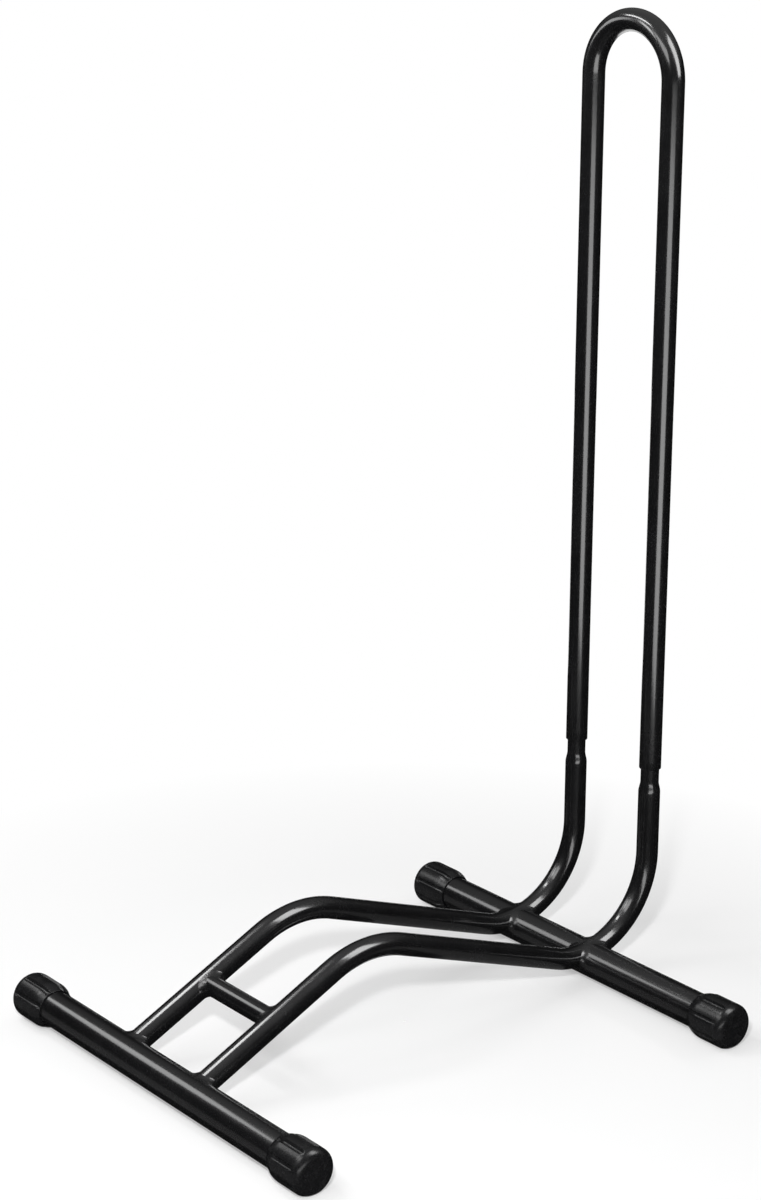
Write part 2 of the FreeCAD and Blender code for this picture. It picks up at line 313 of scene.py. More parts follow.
def bent_line(start, heading, runs, along):
    """Points and headings at distances along a flat line of straight runs and arcs.

    Each run is (length, turn). On a run with curvature k = turn / length, the heading is h + k t and the
    point is p + (sin(h + k t) - sin h, cos h - cos(h + k t)) / k, or p + t (cos h, sin h) where k is 0.
    """
    point = np.array(start, float)
    points = np.zeros((len(along), 2))
    headings = np.zeros(len(along))
    done = 0.0
    for index, (run, bend) in enumerate(runs):
        last = index == len(runs) - 1
        here = (along >= done) & ((along <= done + run) | last)
        for t, target in ((along[here] - done, here), (np.array([run]), None)):
            angle = heading + bend * t / run
            if bend:
                arc = [np.sin(angle) - math.sin(heading), math.cos(heading) - np.cos(angle)]
                step = np.stack(arc, 1) * run / bend
            else:
                step = np.outer(t, [math.cos(heading), math.sin(heading)])
            if target is not None:
                points[target] = point + step
                headings[target] = angle
        point = point + step[0]
        heading += bend
        done += run
    return points, headings


def rail_runs():
    """Start, heading and runs of a rail's axis in the (Y, Z) plane, as bent_line takes them."""
    tubes = bpy.context.scene.bike_rack_tubes
    start = np.array([FRONT_BAR[1], BAR_Z])
    hump = start + tubes.hump_back * np.array([1, math.tan(tubes.front_slope)])
    centre = np.array([LEG_Y - tubes.leg_bend, BAR_Z + tubes.rail_seat + tubes.leg_bend])
    away = centre - hump
    fall = math.asin(tubes.leg_bend / math.hypot(*away)) - math.atan2(away[1], away[0])
    corner = np.array([LEG_Y, hump[1] - (LEG_Y - hump[0]) * math.tan(fall)])
    hump_turn = tubes.front_slope + fall
    leg_turn = math.radians(90) + fall
    hump_cut = tubes.hump_bend * math.tan(hump_turn / 2)
    leg_cut = tubes.leg_bend * math.tan(leg_turn / 2)
    runs = [
        (math.hypot(*(hump - start)) - hump_cut, 0.0),
        (tubes.hump_bend * hump_turn, -hump_turn),
        (math.hypot(*(corner - hump)) - hump_cut - leg_cut, 0.0),
        (tubes.leg_bend * leg_turn, leg_turn),
        (SPIGOT_TOP - corner[1] - leg_cut, 0.0),
    ]
    return start, tubes.front_slope, runs


def stations(runs, start=0.0, straight_step=9 * MM, turn_step=math.radians(2.2)):
    """Distances along the runs, from start on: evenly spaced in each run, closer together in the bends."""
    pieces = []
    done = 0.0
    for run, bend in runs:
        low = max(done, start)
        count = max(int(abs(bend) / turn_step) if bend else int((done + run - low) / straight_step), 2)
        pieces.append(np.linspace(low, done + run, count, endpoint=False))
        done += run
    return np.append(np.concatenate(pieces), done)


def ring_angles(count):
    return np.arange(count) / count * 2 * math.pi


def rings_round(side, line, headings, radii, angles):
    """Rings round a line in a flat plane: at angle a, r cos a to its side and r sin a square to the line.

    The points are (side, first, second), the last two being the coordinates in the plane.
    """
    rise = radii * np.sin(angles)
    return np.stack(np.broadcast_arrays(
        side + radii * np.cos(angles),
        line[..., 0] - rise * np.sin(headings),
        line[..., 1] + rise * np.cos(headings),
    ), axis=-1)


def hollow_mesh(name, outer, inner):
    """Closed wall of an outer and an inner skin, each given as rings from one end to the other."""
    skin = np.concatenate([outer, inner[::-1]])
    rows, columns = skin.shape[:2]
    quads = grid_faces(rows, columns, True)
    in_bore = np.repeat(np.arange(rows) >= len(outer) - 1, columns)
    return face_outwards(mesh_from(name, skin.reshape(-1, 3), quads, bore_faces=in_bore))


def rim_profile(size, count=4):
    """Quarter circle that rounds a rim: how far short of the end, and how far in from the wall."""
    quarter = np.linspace(0, math.pi / 2, count + 1)[1:]
    return size * (1 - np.sin(quarter)), size * (1 - np.cos(quarter))


def rail_mesh(name, x):
    """One rail: the path of rail_runs as a hollow tube, coped to the front foot tube, necked to a spigot.

    The cope: where a ring's point lies h above the axis, the tube starts sqrt(R^2 - h^2) from the foot
    tube's axis, R being the foot tube's radius. The neck: the radius falls from full to spigot with
    (1 - cos) / 2 of the share of the taper's length that is done.
    """
    tubes = bpy.context.scene.bike_rack_tubes
    start, heading, runs = rail_runs()
    total = sum(run for run, bend in runs)
    angles = ring_angles(TUBE_COLUMNS)
    cope_end = 2 * BAR_R
    cope_rows = 8
    taper_rows = 13
    along = stations(runs, cope_end)
    taper = np.linspace(tubes.taper_foot, tubes.neck_height, taper_rows)
    along = np.union1d(along, total - SPIGOT_TOP + taper)
    spigot_r = TUBE_R - tubes.wall - tubes.spigot_fit
    skins = []
    for full, narrow in ((TUBE_R, spigot_r), (TUBE_R - tubes.wall, spigot_r - tubes.wall)):
        height = SPIGOT_TOP - (total - along)
        share = np.clip((height - tubes.taper_foot) / (tubes.neck_height - tubes.taper_foot), 0, 1)
        necked = full - (full - narrow) * (1 - np.cos(math.pi * share)) / 2
        radius = np.where(along > total / 2, necked, full)
        first = np.sqrt(BAR_R ** 2 - (full * np.sin(angles)) ** 2)
        fill = np.linspace(0, 1, cope_rows + 1)[:-1, None]
        rest = np.repeat(along[:, None], TUBE_COLUMNS, 1)
        reach = np.concatenate([first + (cope_end - first) * fill, rest])
        radii = np.concatenate([np.full(cope_rows, full), radius])[:, None]
        line, headings = bent_line(start, heading, runs, reach.ravel())
        line = line.reshape(*reach.shape, 2)
        skins.append(rings_round(x, line, headings.reshape(reach.shape), radii, angles))
    short, inwards = rim_profile(tubes.rim)
    outer, inner = skins
    rims = []
    for skin, sign in ((outer, -1), (inner, 1)):
        centre = np.array([x, LEG_Y, SPIGOT_TOP])
        spoke = skin[-1] - centre
        spoke = spoke / np.linalg.norm(spoke, axis=1, keepdims=True)
        skin[-1, :, 2] -= tubes.rim
        rim = skin[-1][None] + sign * inwards[:, None, None] * spoke[None]
        rim[:, :, 2] = SPIGOT_TOP - short[:, None]
        rims.append(rim)
    return hollow_mesh(name, np.concatenate([outer, rims[0]]), np.concatenate([inner, rims[1]]))


def open_tube_mesh(name, y, start, heading, runs, radius, between):
    """Hollow tube in the (X, Z) plane at y, with rounded open ends and rings at distances between them."""
    tubes = bpy.context.scene.bike_rack_tubes
    total = sum(run for run, bend in runs)
    short, inwards = rim_profile(tubes.rim)
    between = np.clip(between, tubes.rim, total - tubes.rim)
    along = np.concatenate([short[::-1], between, total - short])
    line, headings = bent_line(start, heading, runs, along)
    skins = []
    for wall_r, sign in ((radius, -1), (radius - tubes.wall, 1)):
        rim_r = wall_r + sign * inwards
        radii = np.concatenate([rim_r[::-1], np.full(len(between), wall_r), rim_r])[:, None]
        rings = rings_round(y, line[:, None], headings[:, None], radii, ring_angles(TUBE_COLUMNS))
        skins.append(rings[..., [1, 0, 2]])
    return hollow_mesh(name, *skins)


def foot_tube_mesh(name, centre, half):
    """Straight foot tube along X, given the centre and the half sizes of its box."""
    rim = bpy.context.scene.bike_rack_tubes.rim
    whole = float(2 * half[0])
    ring_step = 3 * MM
    rings = np.linspace(rim, whole - rim, int(whole / ring_step))
    start = (centre[0] - half[0], centre[2])
    return open_tube_mesh(name, centre[1], start, 0.0, [(whole, 0.0)], BAR_R, rings)


def hoop_mesh(name):
    """The hoop: up the left leg, over a half circle and down the right leg."""
    arch_r = (RIGHT_X - LEFT_X) / 2
    leg = HOOP_TOP - TUBE_R - arch_r - HOOP_FOOT
    runs = [(leg, 0.0), (arch_r * math.pi, -math.pi), (leg, 0.0)]
    return open_tube_mesh(name, LEG_Y, (LEFT_X, HOOP_FOOT), math.radians(90), runs, TUBE_R, stations(runs))


def rail_cutter(x):
    """Solid rod a little wider than a rail, along its lower bends, to cut the saddle with."""
    tubes = bpy.context.scene.bike_rack_tubes
    start, heading, runs = rail_runs()
    before_leg = sum(run for run, bend in runs[:3])
    leg_length = runs[3][0]
    rows = 90
    along = np.linspace(before_leg - 4 * BAR_R, before_leg + 0.7 * leg_length, rows)
    line, headings = bent_line(start, heading, runs, along)
    wide_r = TUBE_R + tubes.saddle_gap
    rings = rings_round(x, line[:, None], headings[:, None], wide_r, ring_angles(TUBE_COLUMNS))
    ends = np.stack([rings[0].mean(0), rings[-1].mean(0)])
    points = np.concatenate([rings.reshape(-1, 3), ends])
    quads = grid_faces(rows, TUBE_COLUMNS, False)
    return face_outwards(mesh_from("saddle_cutter", points, quads, pole_fans(rows, TUBE_COLUMNS)))


def cut_saddles(mesh):
    """The rear foot tube with the two saddles that the rails lie in."""
    bar = new_object("uncut_bar", mesh)
    cutters = []
    for x in (LEFT_X, RIGHT_X):
        cutter = new_object("saddle_cutter", rail_cutter(x))
        cutters.append(cutter)
        cut = bar.modifiers.new("saddle", "BOOLEAN")
        cut.operation = "DIFFERENCE"
        cut.solver = "EXACT"
        cut.object = cutter
    bpy.context.view_layer.update()
    evaluated = bar.evaluated_get(bpy.context.evaluated_depsgraph_get())
    result = bpy.data.meshes.new_from_object(evaluated)
    for spare in (bar, *cutters):
        bpy.data.objects.remove(spare)
    if len(result.polygons) <= len(mesh.polygons) // 2:
        raise RuntimeError("the saddles could not be cut")
    result.materials.clear()
    return result


def slope_axes():
    """Unit vectors along the front slope and square to it, upwards."""
    slope = bpy.context.scene.bike_rack_tubes.front_slope
    ahead = np.array([0, math.cos(slope), math.sin(slope)])
    return ahead, np.array([0, -math.sin(slope), math.cos(slope)])


def brace_mesh(name):
    """Short coped tube between the rails: a point h above its axis stops sqrt(R^2 - h^2) from theirs."""
    tubes = bpy.context.scene.bike_rack_tubes
    ahead, across = slope_axes()
    angles = ring_angles(BRACE_COLUMNS)
    skins = []
    for radius in (BRACE_R, BRACE_R - tubes.wall):
        rise = radius * np.sin(angles)
        reach = np.sqrt(TUBE_R ** 2 - rise ** 2)
        share = np.linspace(0, 1, 24)[:, None]
        x = (LEFT_X + reach) * (1 - share) + (RIGHT_X - reach) * share
        ring = (radius * np.cos(angles))[:, None] * ahead + rise[:, None] * across
        skins.append(np.stack([x, np.broadcast_to(BRACE[1] + ring[:, 1], x.shape),
                               np.broadcast_to(BRACE[2] + ring[:, 2], x.shape)], axis=-1))
    return hollow_mesh(name, *skins)


# ---------------------------------------------------------------- welds

def along_loop(points):
    """Unit tangents of a closed line of points, the distance of each along it, and its whole length."""
    step = np.roll(points, -1, 0) - np.roll(points, 1, 0)
    reach = np.linalg.norm(np.roll(points, -1, 0) - points, axis=1)
    distance = np.concatenate([[0], np.cumsum(reach)[:-1]])
    return step / np.linalg.norm(step, axis=1, keepdims=True), distance, reach.sum()


def even_loop(points, step):
    """The same closed line with its points a step apart."""
    distance, total = along_loop(points)[1:]
    count = int(total / step)
    where = np.arange(count) * total / count
    closed = np.concatenate([points, points[:1]])
    marks = np.append(distance, total)
    return np.stack([np.interp(where, marks, closed[:, i]) for i in range(3)], 1)


def on_straight(points, origin, axis, radius):
    """Nearest points on a straight tube's skin, and the outward normals there."""
    away = points - np.array(origin)
    axis = np.array(axis, float)
    away = away - np.outer(away @ axis, axis)
    normals = away / np.linalg.norm(away, axis=1, keepdims=True)
    return points - away + radius * normals, normals


def on_bend(points, x, centre, bend_r, radius):
    """Nearest points on a tube bent round a centre in the (Y, Z) plane, and the outward normals there."""
    spoke = points[:, 1:] - centre
    spoke = spoke / np.linalg.norm(spoke, axis=1, keepdims=True)
    axis = np.column_stack([np.full(len(points), x), centre + bend_r * spoke])
    normals = points - axis
    normals = normals / np.linalg.norm(normals, axis=1, keepdims=True)
    return axis + radius * normals, normals


def bead_mesh(name, line, first_skin, second_skin):
    """Fillet weld along the line p where two skins meet. Each skin gives its nearest points and normals.

    The edges e1 and e2 lie a leg away from p, pulled on to the two skins and sunk a little under them.
    Across the bead the section is the curve (1 - t)^2 e1 + 2 t (1 - t) k + t^2 e2, with t from 0 to 1.
    Its middle point k is p, moved towards the middle of e1 and e2 by the fill and raised by the ripple,
    a rounded saw tooth along the line. The leg is shorter where the skins meet at a shallow angle. Under
    the skins the bead closes inside the tubes.
    """
    tubes = bpy.context.scene.bike_rack_tubes
    points = even_loop(line, tubes.weld_ripple / 6)
    tangent, distance, total = along_loop(points)
    one = first_skin(points)[1]
    two = second_skin(points)[1]
    out = one + two
    out = out / np.linalg.norm(out, axis=1, keepdims=True)
    first = np.cross(tangent, one)
    first = first * np.sign(np.sum(first * two, axis=1, keepdims=True))
    second = np.cross(tangent, two)
    second = second * np.sign(np.sum(second * one, axis=1, keepdims=True))
    crossing = np.linalg.norm(np.cross(one, two), axis=1)
    turns = 2 * math.pi * distance / total
    wander = WELD_WANDER * (np.sin(5 * turns) + np.sin(3 * turns + 1))
    shallow = 0.45
    leg = (tubes.weld_leg * (shallow + (1 - shallow) * crossing) * (1 + wander))[:, None]
    edges = []
    for along, skin in ((first, first_skin), (second, second_skin)):
        edge, normal = skin(points + leg * along)
        edges.append(edge - tubes.weld_sink * normal)
    tooth = distance / total * round(total / tubes.weld_ripple) % 1
    ripple = tubes.weld_ripple_height * np.sin(math.pi * tooth ** 0.6)
    between = (edges[0] + edges[1]) / 2
    knee = points + tubes.weld_fill * (between - points) + ripple[:, None] * out
    section_points = 15
    t = np.linspace(0, 1, section_points)[None, :, None]
    skin = (1 - t) ** 2 * edges[0][:, None] + 2 * t * (1 - t) * knee[:, None] + t ** 2 * edges[1][:, None]
    root_depth = 0.4 * tubes.weld_leg
    root = points - root_depth * out
    rings = np.concatenate([skin, root[:, None]], axis=1)
    rows, columns = rings.shape[:2]
    return face_outwards(mesh_from(name, rings.reshape(-1, 3), grid_faces(rows, columns, True)))


def tee_weld_mesh(name, origin, axis, other_axis, radius, other_r):
    """Bead where a tube ends square on another: at angle a round it, sqrt(R^2 - (r sin a)^2) along it."""
    across = slope_axes()[1]
    angles = ring_angles(WELD_LINE_POINTS)
    rise = radius * np.sin(angles)
    line = (origin + np.outer(radius * np.cos(angles), other_axis) + np.outer(rise, across)
            + np.outer(np.sqrt(other_r ** 2 - rise ** 2), axis))
    return bead_mesh(name, line, lambda p: on_straight(p, origin, axis, radius),
                     lambda p: on_straight(p, origin, other_axis, other_r))


def front_weld_mesh(name, x):
    """Bead where a rail ends on the front foot tube."""
    return tee_weld_mesh(name, (x, FRONT_BAR[1], BAR_Z), slope_axes()[0], (1, 0, 0), TUBE_R, BAR_R)


def brace_weld_mesh(name, x, inward):
    """Bead where the brace ends on a rail."""
    return tee_weld_mesh(name, (x, BRACE[1], BRACE[2]), (inward, 0, 0), slope_axes()[0], BRACE_R, TUBE_R)


def rear_weld_mesh(name, x):
    """Bead where a rail lies in the rear foot tube.

    At angle a round the foot tube its surface is e = |point - centre of the bend| - bend radius off the
    rail's axis, and the two meet sqrt(r^2 - e^2) to each side. The line runs between the two angles where
    e = r, which a fine table of e gives.
    """
    tubes = bpy.context.scene.bike_rack_tubes
    centre = np.array([LEG_Y - tubes.leg_bend, BAR_Z + tubes.rail_seat + tubes.leg_bend])
    bar = np.array([REAR_BAR[1], BAR_Z])

    def off_axis(angle):
        point = bar + BAR_R * np.stack([np.cos(angle), np.sin(angle)], -1)
        return np.linalg.norm(point - centre, axis=-1) - tubes.leg_bend

    table = np.radians(np.linspace(-60, 240, 60001))
    inside = table[off_axis(table) < TUBE_R]
    low, high = inside.min(), inside.max()
    swing = ring_angles(2 * WELD_LINE_POINTS)
    angle = (low + high) / 2 + (high - low) / 2 * np.cos(swing)
    half = np.sqrt(np.maximum(TUBE_R ** 2 - off_axis(angle) ** 2, 0)) * np.sign(np.sin(swing))
    line = np.column_stack([x + half, bar[0] + BAR_R * np.cos(angle), bar[1] + BAR_R * np.sin(angle)])
    return bead_mesh(name, line, lambda p: on_bend(p, x, centre, tubes.leg_bend, TUBE_R),
                     lambda p: on_straight(p, (0, *bar), (1, 0, 0), BAR_R))


# ---------------------------------------------------------------- end caps

def cap_profile():
    """Outline of a cap without grooves, as distances from the mouth and radii, from the outer pole inwards.

    The end is flat and rounded off, the skirt is straight, and the ramp at the mouth swells with the sine
    of the share of its length. The bore and the inner side of the end follow.
    """
    caps = bpy.context.scene.bike_rack_caps
    bore_r = BAR_R + caps.fit
    depth = CAP_LENGTH - caps.end_wall
    mouth_r = BAR_R + caps.mouth_wall
    skirt_rows = 44
    corner = np.linspace(0, math.pi / 2, 12)
    ramp = np.linspace(1, 0, 16)
    lip = np.linspace(0, math.pi, LIP_RINGS + 2)[1:-1]
    lip_r = (mouth_r - bore_r) / 2
    skirt = np.linspace(CAP_LENGTH - caps.rounding, caps.ramp, skirt_rows)[1:-1]
    parts = [
        (np.full(8, CAP_LENGTH), np.linspace(0, CAP_R - caps.rounding, 10)[1:-1]),
        (CAP_LENGTH - caps.rounding * (1 - np.cos(corner)), CAP_R - caps.rounding * (1 - np.sin(corner))),
        (skirt, np.full(len(skirt), CAP_R)),
        (caps.ramp * ramp, mouth_r + (CAP_R - mouth_r) * np.sin(ramp * math.pi / 2)),
        (lip_r * (1 - np.sin(lip)), bore_r + lip_r * (1 + np.cos(lip))),
        (np.linspace(lip_r, depth, BORE_RINGS), np.full(BORE_RINGS, bore_r)),
        (np.full(INNER_END_RINGS, depth), np.linspace(bore_r, 0, INNER_END_RINGS + 2)[1:-1]),
    ]
    return np.concatenate([part[0] for part in parts]), np.concatenate([part[1] for part in parts])


def cap_angles(ribs, half_groove):
    """Angles round a cap, from straight down: close together in each groove, wider apart on each rib."""
    pitch = 2 * math.pi / ribs
    zone = 1.3 * half_groove
    groove_columns = 17
    rib_columns = 11
    in_groove = np.linspace(-zone, zone, groove_columns)
    on_rib = np.linspace(zone, pitch - zone, rib_columns)[1:-1]
    one = np.concatenate([in_groove, on_rib]) + pitch / 2
    return (one[None, :] + np.arange(ribs)[:, None] * pitch).ravel()


def soft_min(a, b, width):
    """The smaller of a and b, with a rounded change over where they are nearly the same."""
    mix = np.clip(0.5 + 0.5 * (b - a) / width, 0, 1)
    return b * (1 - mix) + a * mix - width * mix * (1 - mix)


def cap_mesh(name, mouth_x, y, side):
    """One ribbed cap. Its skin is the outline's radius, lowered to the groove wherever that is deeper.

    A groove is a round bar of radius g laid along the ribs' outline r, so it follows the ramp to the mouth.
    Off its middle by the angle d it reaches down to r cos d - sqrt(g^2 - (r sin d)^2), but never to the
    bore, and past its end g^2 shrinks as a ball's does. The skin stops at the floor, which gives the flat
    that the cap stands on.
    """
    caps = bpy.context.scene.bike_rack_caps
    along, radius = cap_profile()
    half_groove = math.asin(caps.groove / CAP_R)
    angles = cap_angles(caps.ribs, half_groove)
    pitch = 2 * math.pi / caps.ribs
    off = (np.mod(angles, pitch) - pitch / 2)[None, :]
    outline = radius[:, None]
    past = np.maximum(along - (CAP_LENGTH - caps.band), 0)
    reach = np.maximum(caps.groove ** 2 - past ** 2, 0)[:, None] - (outline * np.sin(off)) ** 2
    bottom = np.maximum(outline * np.cos(off) - np.sqrt(np.maximum(reach, 0)), BAR_R + caps.groove_skin)
    floor_r = np.where(reach > 0, bottom, 2 * CAP_R)
    outside = np.arange(len(along)) < len(along) - LIP_RINGS - BORE_RINGS - INNER_END_RINGS
    skin_r = np.where(outside[:, None], soft_min(outline, floor_r, caps.edge), outline)
    x = np.broadcast_to(mouth_x + side * along[:, None], skin_r.shape)
    z = np.maximum(BAR_Z - skin_r * np.cos(angles), 0)
    rings = np.stack([x, y + skin_r * np.sin(angles), z], axis=-1)
    rows, columns = rings.shape[:2]
    poles = np.array([[mouth_x + side * CAP_LENGTH, y, BAR_Z],
                      [mouth_x + side * (CAP_LENGTH - caps.end_wall), y, BAR_Z]])
    points = np.concatenate([rings.reshape(-1, 3), poles])
    quads = grid_faces(rows, columns, False)
    return face_outwards(mesh_from(name, points, quads, pole_fans(rows, columns)))


# ---------------------------------------------------------------- materials

def add_node(tree, kind, settings=None, inputs=None, **links):
    """Add a shader node with its settings, its constant inputs by name or number, and its links by input."""
    node = tree.nodes.new(kind)
    for key, value in (settings or {}).items():
        setattr(node, key, value)
    for key, value in (inputs or {}).items():
        node.inputs[key].default_value = value
    for key, source in links.items():
        tree.links.new(source, node.inputs[int(key[1:]) if key[0] == "i" and key[1:].isdigit()
                                           else key.replace("_", " ")])
    return node


def new_material(name):
    """Empty material, its nodes, and the object coordinates that its textures lie on."""
    material = bpy.data.materials.new(name)
    material.use_nodes = True
    tree = material.node_tree
    tree.nodes.clear()
    return material, tree, tree.nodes.new("ShaderNodeTexCoord").outputs["Object"]


def noise(tree, place, size_mm, detail=2.0, roughness=0.5):
    """Noise on object coordinates whose blotches are about size_mm across."""
    inputs = {"Scale": 1 / (size_mm * MM), "Detail": detail, "Roughness": roughness}
    return add_node(tree, "ShaderNodeTexNoise", inputs=inputs, Vector=place).outputs["Fac"]


def steer(tree, value, from_low, from_high, to_low, to_high):
    """Map a value from one range to another, clamped."""
    return add_node(tree, "ShaderNodeMapRange", inputs={1: from_low, 2: from_high, 3: to_low, 4: to_high},
                    i0=value).outputs[0]


def combine(tree, operation, first, second):
    """One value from two, such as their sum, product or maximum."""
    return add_node(tree, "ShaderNodeMath", {"operation": operation}, i0=first, i1=second).outputs[0]


def blend(tree, share, low, high):
    """Colour between two colours."""
    return add_node(tree, "ShaderNodeMix", {"data_type": "RGBA"}, {"A": (*low, 1), "B": (*high, 1)},
                    Factor=share).outputs["Result"]


def bump(tree, height, strength, depth_mm):
    """Small relief, depth_mm deep where the height goes from 0 to 1."""
    return add_node(tree, "ShaderNodeBump", inputs={"Strength": strength, "Distance": depth_mm * MM},
                    Height=height).outputs[0]


def powder_coat(name, colour, peel_mm, peel_depth_mm, gloss_roughness):
    """Gloss black polyester powder coat, sprayed and baked: deep black, a sheen, and a faint orange peel."""
    material, tree, place = new_material(name)
    peel = noise(tree, place, peel_mm, 1.0)
    cloud = noise(tree, place, 38, 3.0, 0.6)
    speck = noise(tree, place, 4.5, 1.0, 0.5)
    shade = blend(tree, steer(tree, cloud, 0.3, 0.7, 0, 1), [c * 0.82 for c in colour],
                  [c * 1.3 for c in colour])
    rough = combine(tree, "ADD", steer(tree, cloud, 0.3, 0.7, 0.22, 0.27),
                    steer(tree, speck, 0.4, 0.8, 0, 0.03))
    gloss = {"IOR": 1.5, "Coat Weight": 1.0, "Coat Roughness": gloss_roughness, "Coat IOR": 1.6}
    skin = add_node(tree, "ShaderNodeBsdfPrincipled", inputs=gloss, Base_Color=shade, Roughness=rough,
                    Normal=bump(tree, peel, 0.5, peel_depth_mm))
    add_node(tree, "ShaderNodeOutputMaterial", Surface=skin.outputs[0])
    return material


def bare_bore(name, colour):
    """Inside of a welded steel tube: uncoated mill steel, dull grey with brown blotches."""
    material, tree, place = new_material(name)
    blotch = noise(tree, place, 6, 5.0, 0.65)
    shade = blend(tree, steer(tree, blotch, 0.4, 0.7, 0, 1), colour,
                  (colour[0] * 0.6, colour[1] * 0.5, colour[2] * 0.42))
    skin = add_node(tree, "ShaderNodeBsdfPrincipled", inputs={"Metallic": 0.85}, Base_Color=shade,
                    Roughness=steer(tree, blotch, 0.3, 0.7, 0.42, 0.65))
    add_node(tree, "ShaderNodeOutputMaterial", Surface=skin.outputs[0])
    return material


def moulded_plastic(name, colour, scuff):
    """Injection moulded PVC: satin black with a fine spark texture, and faint rubbed places."""
    material, tree, place = new_material(name)
    grain = noise(tree, place, 0.7, 3.0, 0.7)
    rubbed = noise(tree, place, 9, 6.0, 0.7)
    shade = blend(tree, steer(tree, rubbed, 0.52, 0.72, 0, 0.6), colour, scuff)
    rough = combine(tree, "ADD", steer(tree, grain, 0.3, 0.7, 0.22, 0.28),
                    steer(tree, rubbed, 0.5, 0.7, 0, 0.08))
    skin = add_node(tree, "ShaderNodeBsdfPrincipled", inputs={"IOR": 1.52}, Base_Color=shade,
                    Roughness=rough, Normal=bump(tree, grain, 0.35, 0.05))
    add_node(tree, "ShaderNodeOutputMaterial", Surface=skin.outputs[0])
    return material


def material_of(kind):
    """The rack's materials, each made once."""
    found = bpy.data.materials.get(kind)
    if found:
        return found
    finish = bpy.context.scene.bike_rack_finish
    if kind == "gloss_black_powder_coat":
        return powder_coat(kind, finish.enamel, peel_mm=3.5, peel_depth_mm=0.012, gloss_roughness=0.12)
    if kind == "powder_coat_on_weld":
        return powder_coat(kind, finish.enamel, peel_mm=2.6, peel_depth_mm=0.008, gloss_roughness=0.27)
    if kind == "uncoated_steel_bore":
        return bare_bore(kind, finish.bore)
    if kind == "moulded_black_pvc":
        return moulded_plastic(kind, finish.plastic, finish.scuff)
    raise ValueError("no finish is called " + kind)


def tube_finish():
    return [material_of("gloss_black_powder_coat"), material_of("uncoated_steel_bore")]


# ---------------------------------------------------------------- operators

class BIKE_RACK_OT_foot_tubes(bpy.types.Operator):
    """Make the two foot tubes, the rear one with its saddles"""
    bl_idname = "bike_rack.foot_tubes"
    bl_label = "Foot Tubes"

    def execute(self, context):
        front = foot_tube_mesh("front_foot_tube", FRONT_BAR, FRONT_BAR_HALF)
        rear = cut_saddles(foot_tube_mesh("rear_foot_tube", REAR_BAR, REAR_BAR_HALF))
        for end, mesh in (("front", front), ("rear", rear)):
            finish_piece(end + "_foot_tube", mesh, tube_finish(), "base_frame",
                         end + "_crossbar")
        return {"FINISHED"}


class BIKE_RACK_OT_rails(bpy.types.Operator):
    """Make the two bent rails with their spigots"""
    bl_idname = "bike_rack.rails"
    bl_label = "Rails"

    def execute(self, context):
        for side, x in (("left", LEFT_X), ("right", RIGHT_X)):
            mesh = rail_mesh(side + "_bent_rail", x)
            finish_piece(mesh.name, mesh, tube_finish(), "base_frame", side + "_rail")
        return {"FINISHED"}


class BIKE_RACK_OT_brace(bpy.types.Operator):
    """Make the short brace between the rails"""
    bl_idname = "bike_rack.brace"
    bl_label = "Brace"

    def execute(self, context):
        mesh = brace_mesh("brace_tube")
        finish_piece("brace_tube", mesh, tube_finish(), "base_frame", "rail_brace")
        return {"FINISHED"}


class BIKE_RACK_OT_hoop(bpy.types.Operator):
    """Make the tall hoop that lifts off"""
    bl_idname = "bike_rack.hoop"
    bl_label = "Hoop"

    def execute(self, context):
        mesh = hoop_mesh("tall_hoop")
        finish_piece("tall_hoop", mesh, tube_finish(), "hoop", "upper_hoop")
        return {"FINISHED"}


class BIKE_RACK_OT_welds(bpy.types.Operator):
    """Make the six weld beads"""
    bl_idname = "bike_rack.welds"
    bl_label = "Welds"

    def execute(self, context):
        coat = [material_of("powder_coat_on_weld")]
        for side, x, inward in (("left", LEFT_X, 1), ("right", RIGHT_X, -1)):
            for node, mesh in (
                ("front_" + side + "_weld", front_weld_mesh("front_" + side + "_bead", x)),
                ("rear_" + side + "_weld", rear_weld_mesh("rear_" + side + "_bead", x)),
                ("brace_" + side + "_weld", brace_weld_mesh("brace_" + side + "_bead", x, inward)),
            ):
                finish_piece(mesh.name, mesh, coat, "base_frame", node, sharp_angle=60)
        return {"FINISHED"}


class BIKE_RACK_OT_caps(bpy.types.Operator):
    """Make the four ribbed end caps"""
    bl_idname = "bike_rack.caps"
    bl_label = "End Caps"

    def execute(self, context):
        for end in ("front", "rear"):
            for side, sign in (("left", -1), ("right", 1)):
                node = end + "_" + side + "_cap"
                centre, half = middle(node)
                mesh = cap_mesh(end + "_" + side + "_end_cap", centre[0] - sign * half[0], centre[1], sign)
                plastic = [material_of("moulded_black_pvc")]
                finish_piece(mesh.name, mesh, plastic, "base_frame", node, sharp_angle=50)
        return {"FINISHED"}


# ---------------------------------------------------------------- studio

def see_background(tree):
    """1 for rays from the camera, reflections and see-through things, which see the plain white studio."""
    path = tree.nodes.new("ShaderNodeLightPath").outputs
    seen = combine(tree, "MAXIMUM", path["Is Camera Ray"], path["Is Glossy Ray"])
    return combine(tree, "MAXIMUM", seen, path["Is Transmission Ray"])


def make_world(white):
    """White world: strength 1 where the camera, reflections and glass see it, and a weak fill as light."""
    world = bpy.data.worlds.new("white_studio")
    bpy.context.scene.world = world
    world.use_nodes = True
    tree = world.node_tree
    tree.nodes.clear()
    strength = steer(tree, see_background(tree), 0, 1, WORLD_FILL, 1)
    back = add_node(tree, "ShaderNodeBackground", inputs={"Color": (*white, 1)}, Strength=strength)
    add_node(tree, "ShaderNodeOutputWorld", Surface=back.outputs[0])


